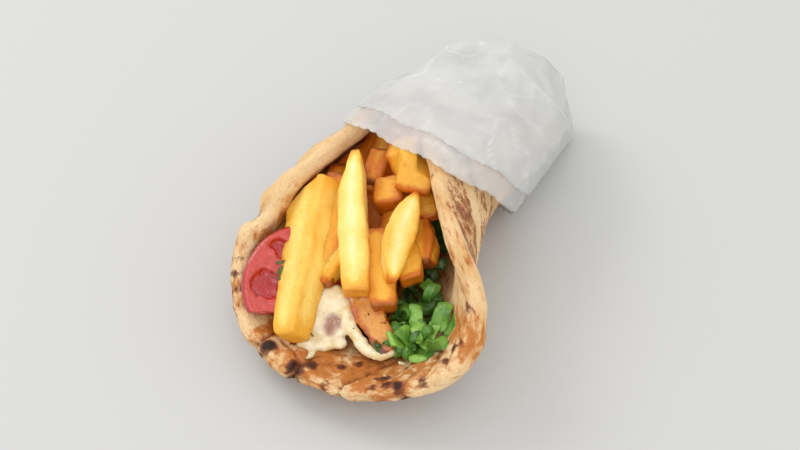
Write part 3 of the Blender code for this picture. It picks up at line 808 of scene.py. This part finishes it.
def shred(start, heading, turn_axis, length, width, curl, seed, shade):
    """One curled ribbon of leaf: a strip primitive wound along its own bent path."""
    clear_selection()
    steps, lanes = 22, 4
    bpy.ops.mesh.primitive_grid_add(x_subdivisions=steps, y_subdivisions=lanes, size=2)
    strip = bpy.context.object
    points = points_of(strip)
    t = (points[:, 0] + 1) / 2
    lane = points[:, 1]
    chance = np.random.default_rng(seed)
    heading = np.array(heading, float) / np.linalg.norm(heading)
    axis = np.array(turn_axis, float)
    axis = axis - heading * (axis @ heading)
    axis /= np.linalg.norm(axis)
    other = np.cross(axis, heading)
    count = 60
    s = np.linspace(0, 1, count)
    wave = chance.uniform(-1, 1, 3)
    angles = curl * (s + 0.22 * np.sin(s * math.pi * 2 + wave[0] * 3))
    forward = np.outer(np.cos(angles), heading) + np.outer(np.sin(angles), other)
    forward += np.outer(0.35 * np.sin(s * 5 + wave[1] * 3), axis)
    forward /= np.linalg.norm(forward, axis=1)[:, None]
    line = np.cumsum(forward, axis=0) * length / count
    at = np.stack([np.interp(t, s, line[:, k]) for k in range(3)], -1)
    along = np.stack([np.interp(t, s, forward[:, k]) for k in range(3)], -1)
    side = axis - along * (along @ axis)[:, None]
    side /= np.linalg.norm(side, axis=1)[:, None]
    out = np.cross(side, along)
    taper = np.interp(t, (0, 0.12, 0.85, 1), (0.35, 0.9, 1, 0.5))
    ruffle = 0.7 * np.sin(t * 11 + wave[2] * 3 + lane * 1.2) * np.abs(lane) + 0.9 * lane * lane
    placed = np.array(start, float) + at + side * (lane * width / 2 * taper)[:, None] + out * ruffle[:, None]
    set_points(strip, kept_inside(placed, 0.8))
    # The shade value is painted light and shade for this shred: lower is a darker green, as shaded, higher a brighter
    # green, as lit.
    paint(strip, "shade", np.full(len(t), shade) + 0.15 * rough(placed, 5, seed + 5, 1))
    paint(strip, "rib", step_between(np.abs(lane), 0.25, 0.0) * (seed % 3 == 0) * 0.7)
    return strip


# Shreds placed one by one where the mouth shows them: start, heading, turn axis, length, width, curl, shade
# Their last value is painted light and shade: lower gives a darker green, as shaded, higher a brighter green, as lit.
SHOWN_SHREDS = (
    ((41, -59, 19), (-0.2, -1, 0.5), (1, 0.1, 0.2), 24, 9, 4.2, 0.85),
    ((47, -50, 28), (0.1, 0.2, 1), (0, 1, -0.4), 20, 7.5, 3.6, 0.75),
    ((44, -41, 33), (0.1, -0.6, 1), (1, 0.4, 0), 17, 7, 2.6, 0.7),
    ((31, -53, 24), (1, 0.5, 0.6), (0, 1, -0.6), 21, 7, 3.2, 0.8),
    ((29, -60, 19.5), (0.8, -0.6, 0.3), (0.2, 0.6, 0.8), 16, 6.5, 2.4, 0.5),
    ((36, -48, 29), (0.4, -0.8, 0.5), (1, 0.3, 0.2), 15, 7, 3.8, 0.95),
    ((26, -46, 28), (0.9, 0.2, 0.4), (-0.2, 0.9, -0.3), 17, 6, 3.0, 0.55),
    ((48, -57, 24), (-0.7, 0.4, 0.7), (0.3, 1, 0), 18, 7, 3.0, 0.75),
    ((38, -62, 18), (0.9, 0.1, 0.5), (0, -1, 0.4), 20, 8, 3.6, 0.7),
    ((33, -44, 30), (0.1, -0.5, 0.9), (0.9, 0.1, 0), 13, 6, 2.8, 0.8),
    ((30, -36, 33), (0.6, 0.3, 0.5), (0, 1, 0), 14, 6, 2.2, 0.25),
    ((36, -34, 34), (0.3, -0.6, 0.6), (1, 0, 0.3), 14, 6, 2.6, 0.35),
    ((43, -47, 31), (-0.5, -0.6, 0.5), (0.5, -0.5, 0.6), 16, 6.5, 3.4, 0.9),
    ((25, -52, 25), (0.5, -0.7, 0.1), (0.5, 0.5, 0.8), 14, 5.5, 1.8, 0.45),
    ((46, -62, 22), (-0.3, 0.9, 0.4), (1, 0.3, 0), 16, 6.5, 2.4, 0.55),
    ((34, -56, 22), (0.3, 0.2, 0.9), (0.7, -0.6, 0.1), 16, 7, 4.6, 0.9),
)


BACK_SHREDS = 14    # shreds laid along the roll behind the mouth


def build_lettuce():
    settings = bpy.context.scene.pita_wrap_lettuce
    chance = np.random.default_rng(settings.seed)
    shreds = [shred(*facts[:6], 400 + i, facts[6]) for i, facts in enumerate(SHOWN_SHREDS)]
    for i in range(settings.shreds):
        y = chance.uniform(-62, -16)
        across = chance.uniform(16, 50)
        base = roll(np.array([y]), np.array([across]), np.array([-(PITA_THICKNESS / 2 + chance.uniform(2, 9))]))[0]
        heading = chance.uniform(-1, 1, 3) + np.array((0, 0, 0.3))
        axis = chance.uniform(-1, 1, 3)
        # Painted shade: shreds deeper in the roll get a darker green, those near the mouth up to a brighter one.
        shade = 0.15 + 0.55 * chance.random() * step_between(-y, 25, 50)
        shreds.append(shred(base, heading, axis, chance.uniform(10, 18), chance.uniform(4.5, 7),
                            chance.uniform(1.8, 4.5), 500 + i, shade))
    for i in range(BACK_SHREDS):
        y = chance.uniform(-12, 44)
        base = roll(np.array([y]), np.array([chance.uniform(14, 34)]), np.array([-8.0]))[0]
        # Shreds deep in the roll get a low shade value: a darker green as painted shade.
        shreds.append(shred(base, (0.2, 1, 0.3), (1, 0.2, 0), 22, 7, 2.0, 700 + i, 0.3))
    whole = joined(shreds, "lettuce")
    modified(whole, "SOLIDIFY", thickness=0.35 * MM, offset=0.0)
    modified(whole, "SUBSURF", levels=1, render_levels=1)
    return finished(whole, "lettuce", lettuce_look(settings), "lettuce")


# ---------------------------------------------------------------- sauce

# Lumps of thick sauce that run together: middle, half sizes, and turn about Z in degrees
SAUCE_LUMPS = (
    ((-4, -53, 25), (7.5, 7, 3.6), 0), ((1, -52, 24.5), (5.5, 5.5, 3.4), 0), ((-5.5, -60, 21), (5.5, 6.5, 3.4), 10),
    ((-4.5, -67, 17), (4.6, 5.5, 3.0), 10), ((1, -66, 16.5), (6, 4.2, 2.8), 0), ((-2.5, -71, 15.5), (3, 3.4, 2.0), 0),
    ((-0.8, -74.5, 15.8), (1.7, 3.0, 1.6), -10), ((4.5, -60, 19.5), (5, 5.5, 3.2), 0),
    ((6.8, -64, 16.5), (4, 3, 2.2), 20), ((-1.5, -60, 19.5), (6, 6, 3.2), 0), ((-6.5, -70, 16.5), (2.4, 3.0, 1.8), 0),
)
SAUCE_BEAD = (((-2, -47.5, 27.5), 2.2), ((2, -49.5, 26.6), 2.5), ((6, -53.5, 24.6), 2.5), ((8.5, -57, 22.6), 2.8),
              ((11, -59.5, 21), 2.7), ((14.5, -61.5, 20), 2.6), ((18, -63.5, 18.8), 2.4), ((22, -65, 18.2), 2.2),
              ((26, -65.2, 18.4), 2.0), ((29, -63.5, 19.2), 1.9), ((30.5, -61.5, 20.2), 1.5))
SAUCE_DABS = (((11.8, -45.5, 28), (1.5, 3.6, 1.2), -38), ((16, -47.6, 26.6), (1.4, 3.4, 1.1), -42),
              ((35.5, -64.2, 17.6), (2.4, 1.2, 0.9), 0), ((20, -50.5, 25), (1.1, 2.4, 1.0), -35))


def lump(middle, half_sizes, turn, slope=24):
    blob = ball(28, 18)
    x, y, z = (points_of(blob) * np.array(half_sizes)).T
    a, b = math.radians(turn), math.radians(slope)
    x, y = x * math.cos(a) - y * math.sin(a), x * math.sin(a) + y * math.cos(a)
    y, z = y * math.cos(b) - z * math.sin(b), y * math.sin(b) + z * math.cos(b)
    set_points(blob, np.stack((x, y, z), -1) + np.array(middle))
    return blob


def build_sauce():
    blobs = [lump(*facts) for facts in SAUCE_LUMPS + SAUCE_DABS]
    for (start, thick), (after, thick_after) in zip(SAUCE_BEAD, SAUCE_BEAD[1:]):
        for share in (0, 0.5):
            middle = np.array(start) * (1 - share) + np.array(after) * share
            size = (thick * (1 - share) + thick_after * share) * (0.92 + 0.08 * math.sin(middle[0] * 1.7))
            blobs.append(lump(middle, (size * 1.25, size * 1.15, size), 0))
    whole = joined(blobs, "sauce")
    modified(whole, "REMESH", mode="VOXEL", voxel_size=0.55 * MM)
    modified(whole, "SMOOTH", factor=0.6, iterations=8)
    placed = points_of(whole) / MM - SHIFT
    set_points(whole, kept_inside(placed, 0.2))
    raise_by(whole, 0.45 * rough(placed, 5, 601, 2) + 0.15 * rough(placed, 2.2, 602, 2))
    away = np.linalg.norm((placed - np.array((3.2, -58.5, 21.5))) / np.array((4.6, 7.0, 5.0)), axis=1)
    away = away + 0.3 * rough(placed, 4, 603, 2)
    paint(whole, "thin", step_between(away, 1.1, 0.55) * 0.85)
    return finished(whole, "sauce", sauce_look(bpy.context.scene.pita_wrap_sauce), "sauce")


# ---------------------------------------------------------------- herbs and crumbs

FLAKE_COS, FLAKE_SIN = 0.88, 0.47    # flakes lie on a slope of 28 degrees


def flakes(name, spots, size, seed, look):
    """Small torn flakes that lie on the fillings, each a squashed uneven ball."""
    chance = np.random.default_rng(seed)
    made = []
    for middle, scale in spots:
        flake = ball(10, 6)
        points = points_of(flake) * np.array((size * scale, size * scale * 0.45, size * 0.22))
        turn = chance.uniform(0, math.pi)
        x, y, z = points.T
        x, y = x * math.cos(turn) - y * math.sin(turn), x * math.sin(turn) + y * math.cos(turn)
        y, z = y * FLAKE_COS - z * FLAKE_SIN, y * FLAKE_SIN + z * FLAKE_COS
        placed = np.stack((x, y, z), -1) + np.array(middle)
        placed += 0.25 * size * np.stack([rough(placed, size, seed + k, 1) for k in range(3)], -1)
        set_points(flake, placed)
        made.append(flake)
    return finished(joined(made, name), name, look)


def on_tomato(u, v, lift=0.4):
    right, up = tomato_axes()
    return TOMATO_CENTRE + right * u + up * v + TOMATO_FACING * lift


def build_herbs():
    settings = bpy.context.scene.pita_wrap_sauce
    spots = [(on_tomato(-15.5, 1.5), 2.0), (on_tomato(-14.5, 2.8), 1.3), (on_tomato(-13, 0.4), 2.4),
             (on_tomato(-13.5, -2.2), 1.2), (on_tomato(-11.5, -4), 1.6), (on_tomato(-12.4, -1.6), 1.8)]
    spots += [((-6, -52, 28.8), 1.3), ((-3, -57, 25), 0.9), ((-6.5, -63, 22.6), 1.0), ((-1, -55, 26.5), 0.8),
              ((-3, -67.5, 20.2), 0.8), ((12, -60, 23.6), 0.7), ((25, -64.6, 20.6), 0.7)]
    look = plain_look("dried_herb", settings.herb, 0.7, srgb(86, 88, 40))
    return flakes("herbs", spots, 0.9, 801, look)


def build_crumbs():
    spots = [((-5.2, -69.5, 19.6), 2.2), ((16, -54.5, 28.2), 0.9), ((27, -59.5, 24.2), 0.8)]
    look = plain_look("seared_crumb", srgb(92, 48, 34), 0.5, srgb(60, 30, 20))
    return flakes("crumbs", spots, 0.8, 811, look)


# ---------------------------------------------------------------- paper

PAPER_CENTRE = np.array((4.0, 58.0, 27.0))
FRONT_PLANE = ((-2, 12, 56), (-34, 39, 30), (38, 23, 30))


def paper_shell(hull, segments, rings, set_back, lift, seed):
    """A ball's skin thrown onto the sleeve's taut outline, from its blunt end to its front edge."""
    shell = ball(segments, rings)
    points = points_of(shell)
    tip = np.arccos(np.clip(points[:, 2], -1, 1)) / math.pi
    spoke = np.arctan2(points[:, 1], points[:, 0])
    top, left, right = (np.array(p, float) for p in FRONT_PLANE)
    normal = np.cross(left - top, right - top)
    normal /= np.linalg.norm(normal) * (1 if normal[1] < 0 else -1)
    centre = Vector((PAPER_CENTRE + SHIFT) * MM)

    def hit(angle, polar):
        way = Vector((math.cos(angle) * math.sin(polar), math.cos(polar), math.sin(angle) * math.sin(polar)))
        found = hull.ray_cast(centre + way * 0.3, -way, 0.299)[0]
        return None if found is None else np.array(found) / MM - SHIFT

    columns = {}
    placed = np.zeros_like(points)
    for i, (angle, share) in enumerate(zip(spoke, tip)):
        key = round(angle, 4) if 0.0001 < share < 0.9999 else 0.0
        if key not in columns:
            ragged = 0.5 * math.sin(angle * 53) + 0.5 * math.sin(angle * 131 + 1)
            back = set_back + ragged + 0.8 * math.sin(angle * 9 + seed)
            low, high = 0.4, 2.9
            for _ in range(16):
                middle = (low + high) / 2
                found = hit(angle, middle)
                inside = found is not None and (found - top) @ normal < -back
                low, high = (middle, high) if inside else (low, middle)
            columns[key] = low
        polar = columns[key] * min(share / 0.97, 1.0)
        found = hit(angle, polar)
        placed[i] = found if found is not None else placed[i - 1]
    set_points(shell, placed)
    built = bmesh.new()
    built.from_mesh(shell.data)
    built.verts.ensure_lookup_table()
    bmesh.ops.delete(built, geom=[built.verts[i] for i in np.nonzero(tip > 0.975)[0]], context="VERTS")
    built.to_mesh(shell.data)
    built.free()
    shell.data.update()
    modified(shell, "SMOOTH", factor=0.5, iterations=3)
    placed = points_of(shell) / MM - SHIFT
    free = step_between(placed[:, 1], 30, 80)
    crease = 1 - np.abs(rough(placed, 22, seed, 2)) * 2.2
    crumple = 0.5 * rough(placed, 16, seed + 1, 2) + 0.22 * rough(placed, 6, seed + 2, 2)
    amount = lift + 0.3 * np.maximum(crease, -0.5) * (0.5 + free) + crumple * (0.4 + 0.5 * free)
    amount = np.maximum(amount, lift - 0.35 - 1.5 * free)
    outward = normals_of(shell)
    centre_way = placed - PAPER_CENTRE
    outward *= np.sign(np.sum(outward * centre_way, axis=1))[:, None]
    moved = placed + outward * amount[:, None]
    moved[:, 2] = np.maximum(moved[:, 2], 0.15)
    set_points(shell, moved)
    paint(shell, "fold", np.clip(crease, 0, 1) ** 6 * 0.12)
    return shell


def build_paper():
    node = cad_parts["paper_wrap"]
    hull = BVHTree.FromPolygons([v.co for v in node.data.vertices], [tuple(p.vertices) for p in node.data.polygons])
    inner = paper_shell(hull, 300, 80, 0.0, 0.0, 901)
    outer = paper_shell(hull, 220, 60, 9.0, 0.5, 907)
    whole = joined([inner, outer], "paper_wrap")
    pick(whole)
    bpy.ops.object.mode_set(mode="EDIT")
    bpy.ops.mesh.select_all(action="SELECT")
    bpy.ops.mesh.normals_make_consistent(inside=False)
    bpy.ops.object.mode_set(mode="OBJECT")
    modified(whole, "SOLIDIFY", thickness=0.12 * MM, offset=-1.0)
    return finished(whole, "paper_wrap", paper_look(bpy.context.scene.pita_wrap_paper), "paper_wrap")


# ---------------------------------------------------------------- stage

CAMERA_TARGET = Vector((-2.79, -14.3, 26.0)) * MM
CAMERA_AZIMUTH = math.radians(23.86)
CAMERA_ELEVATION = math.radians(46.96)
SENSOR_WIDTH = 36    # mm


def area_light(name, place, target, size, power, colour):
    data = bpy.data.lights.new(name, "AREA")
    data.shape = "DISK"
    data.size = size
    data.energy = power
    data.color = colour
    lamp = bpy.data.objects.new(name, data)
    bpy.context.scene.collection.objects.link(lamp)
    lamp.location = place
    lamp.rotation_euler = (Vector(target) - Vector(place)).to_track_quat("-Z", "Y").to_euler()


def build_stage():
    settings = bpy.context.scene.pita_wrap_stage
    clear_selection()
    bpy.ops.mesh.primitive_plane_add(size=6)
    floor = bpy.context.object
    floor.name = "floor"
    floor.data.materials.append(plain_look("pale_floor", settings.floor, 0.75, size=80))
    camera = bpy.data.objects.new("camera", bpy.data.cameras.new("camera"))
    bpy.context.scene.collection.objects.link(camera)
    flat = math.cos(CAMERA_ELEVATION)
    back = Vector((math.sin(CAMERA_AZIMUTH) * flat, -math.cos(CAMERA_AZIMUTH) * flat, math.sin(CAMERA_ELEVATION)))
    camera.location = CAMERA_TARGET + back * settings.distance
    camera.rotation_euler = back.to_track_quat("Z", "Y").to_euler()
    camera.data.lens = settings.lens
    camera.data.sensor_width = SENSOR_WIDTH
    bpy.context.scene.camera = camera
    area_light("key", (-0.95, 0.15, 1.0), (0, 0, 0.03), 0.6, settings.key, (1.0, 0.98, 0.95))
    area_light("fill", (0.5, -1.1, 1.2), (0, 0, 0.03), 1.6, settings.fill, (1.0, 1.0, 1.0))
    world = bpy.data.worlds.new("soft_room")
    world.use_nodes = True
    world.node_tree.nodes["Background"].inputs["Color"].default_value = (1, 1, 1, 1)
    world.node_tree.nodes["Background"].inputs["Strength"].default_value = settings.ambient
    bpy.context.scene.world = world
    bpy.context.scene.view_settings.view_transform = "Standard"


# ---------------------------------------------------------------- settings

def shade(name, colour):
    return FloatVectorProperty(name=name, description=name + " colour", subtype="COLOR", size=3,
                               default=srgb(*colour), min=0, max=1)


class PITA_PG_bread(bpy.types.PropertyGroup):
    """Colours of the bread, from its pale crumb to its burnt spots; the grilled colour also paints shade into the
    cracks.
    """
    pale: shade("Pale crumb", (232, 200, 152))
    cream: shade("Cream crumb", (218, 176, 120))
    toast: shade("Toasted", (190, 116, 50))
    grill: shade("Grilled", (146, 78, 36))
    brown: shade("Browned", (98, 42, 20))
    char: shade("Burnt", (38, 20, 18))


class PITA_PG_fries(bpy.types.PropertyGroup):
    """Colours of the fries and the depth of the mass under them; the floury colour is partly a paler potato tone and
    partly a painted highlight on the palest fries.
    """
    floury_and_lit: shade("Floury potato", (255, 234, 172))
    pale: shade("Pale potato", (250, 214, 112))
    golden: shade("Golden", (240, 178, 52))
    orange: shade("Orange", (212, 116, 14))
    brown: shade("Brown", (140, 68, 16))
    core_drop: FloatProperty(name="Core drop", description="Depth of the packed mass below the top, in mm",
                             default=7.0, min=2, max=15)


class PITA_PG_tomato(bpy.types.PropertyGroup):
    """Colours of the tomato slice, with the colour of its painted wet highlights."""
    flesh: shade("Flesh", (200, 62, 50))
    deep: shade("Deep flesh", (180, 42, 38))
    pulp: shade("Seed pulp", (176, 10, 14))
    skin: shade("Skin", (170, 22, 20))
    painted_glint: shade("Wet glint", (238, 150, 140))


class PITA_PG_pork(bpy.types.PropertyGroup):
    """Colours of the pork strip."""
    golden: shade("Golden", (226, 152, 54))
    orange: shade("Orange", (198, 100, 24))
    brown: shade("Brown", (124, 52, 16))
    seared: shade("Seared", (84, 30, 14))


class PITA_PG_lettuce(bpy.types.PropertyGroup):
    """Colours and number of the lettuce shreds; the deep leaf colour also serves as painted shade and the bright one
    as painted light.
    """
    deep: shade("Deep leaf", (34, 66, 14))
    leaf: shade("Leaf", (78, 132, 34))
    bright: shade("Bright leaf", (138, 188, 72))
    rib: shade("Rib", (176, 210, 128))
    shreds: IntProperty(name="Loose shreds", description="Shreds strewn under the ones placed by hand",
                        default=44, min=0, max=120)
    seed: IntProperty(name="Seed", description="Seed of the strewn shreds", default=5)


class PITA_PG_sauce(bpy.types.PropertyGroup):
    """Colours of the sauce and its herbs."""
    cream: shade("Cream", (240, 226, 190))
    oily: shade("Oily", (222, 196, 138))
    stained: shade("Stained", (150, 96, 84))
    herb: shade("Herb", (96, 100, 46))


class PITA_PG_paper(bpy.types.PropertyGroup):
    """Colours of the paper, and how well it covers what is under it."""
    white: shade("White", (240, 240, 238))
    grey: shade("Grey", (224, 225, 224))
    cover: FloatProperty(name="Cover", description="Share of what lies under it that one face hides",
                         subtype="FACTOR", default=0.34, min=0, max=1)


class PITA_PG_stage(bpy.types.PropertyGroup):
    """Camera, lights and floor."""
    floor: shade("Floor", (196, 196, 195))
    distance: FloatProperty(name="Distance", description="Camera distance", unit="LENGTH", default=0.66418)
    lens: FloatProperty(name="Lens", description="Focal length in mm", default=70.0)
    key: FloatProperty(name="Key", description="Power of the key light in watts", default=4.2)
    fill: FloatProperty(name="Fill", description="Power of the fill light in watts", default=6.0)
    ambient: FloatProperty(name="Ambient", description="Strength of the room's light", default=1.04)


# ---------------------------------------------------------------- operators

class Builds:
    """Runs an operator's builders, one after another."""
    builders = ()

    def execute(self, context):
        for build in self.builders:
            build()
        return {"FINISHED"}


class PITA_OT_bread(Builds, bpy.types.Operator):
    """Build the pita"""
    bl_idname = "pita_wrap.bread"
    bl_label = "Pita"
    builders = (build_pita,)


class PITA_OT_fries(Builds, bpy.types.Operator):
    """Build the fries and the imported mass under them"""
    bl_idname = "pita_wrap.fries"
    bl_label = "Fries"
    builders = (build_fries,)


class PITA_OT_pork(Builds, bpy.types.Operator):
    """Build the pork strip"""
    bl_idname = "pita_wrap.pork"
    bl_label = "Pork"
    builders = (build_pork,)


class PITA_OT_tomato(Builds, bpy.types.Operator):
    """Build the tomato slice"""
    bl_idname = "pita_wrap.tomato"
    bl_label = "Tomato"
    builders = (build_tomato,)


class PITA_OT_lettuce(Builds, bpy.types.Operator):
    """Build the shredded lettuce"""
    bl_idname = "pita_wrap.lettuce"
    bl_label = "Lettuce"
    builders = (build_lettuce,)


class PITA_OT_sauce(Builds, bpy.types.Operator):
    """Build the sauce, its herbs and the crumbs"""
    bl_idname = "pita_wrap.sauce"
    bl_label = "Sauce and herbs"
    builders = (build_sauce, build_herbs, build_crumbs)


class PITA_OT_paper(Builds, bpy.types.Operator):
    """Build the paper sleeve"""
    bl_idname = "pita_wrap.paper"
    bl_label = "Paper"
    builders = (build_paper,)


class PITA_OT_stage(Builds, bpy.types.Operator):
    """Set up the floor, lights and camera"""
    bl_idname = "pita_wrap.stage"
    bl_label = "Stage"
    builders = (build_stage,)


GROUPS = {"bread": PITA_PG_bread, "fries": PITA_PG_fries, "pork": PITA_PG_pork, "tomato": PITA_PG_tomato,
          "lettuce": PITA_PG_lettuce, "sauce": PITA_PG_sauce, "paper": PITA_PG_paper, "stage": PITA_PG_stage}
OPERATORS = {"bread": PITA_OT_bread, "fries": PITA_OT_fries, "pork": PITA_OT_pork, "tomato": PITA_OT_tomato,
             "lettuce": PITA_OT_lettuce, "sauce": PITA_OT_sauce, "paper": PITA_OT_paper, "stage": PITA_OT_stage}


class PITA_PT_panel(bpy.types.Panel):
    """Lists the wrap's pieces with their settings"""
    bl_idname = "PITA_PT_panel"
    bl_label = "Pita wrap"
    bl_space_type = "VIEW_3D"
    bl_region_type = "UI"
    bl_category = "Pita wrap"

    def draw(self, context):
        for key, operator in OPERATORS.items():
            column = self.layout.box().column()
            for name in GROUPS[key].__annotations__:
                column.prop(getattr(context.scene, "pita_wrap_" + key), name)
            column.operator(operator.bl_idname)


def register():
    for kind in (*GROUPS.values(), *OPERATORS.values(), PITA_PT_panel):
        bpy.utils.register_class(kind)
    for key, group in GROUPS.items():
        setattr(bpy.types.Scene, "pita_wrap_" + key, PointerProperty(type=group))


def unregister():
    for key in GROUPS:
        delattr(bpy.types.Scene, "pita_wrap_" + key)
    for kind in (PITA_PT_panel, *OPERATORS.values(), *GROUPS.values()):
        bpy.utils.unregister_class(kind)


def main():
    register()
    for key in OPERATORS:
        getattr(bpy.ops.pita_wrap, key)()
    clear_selection()


if __name__ == "__main__":
    main()
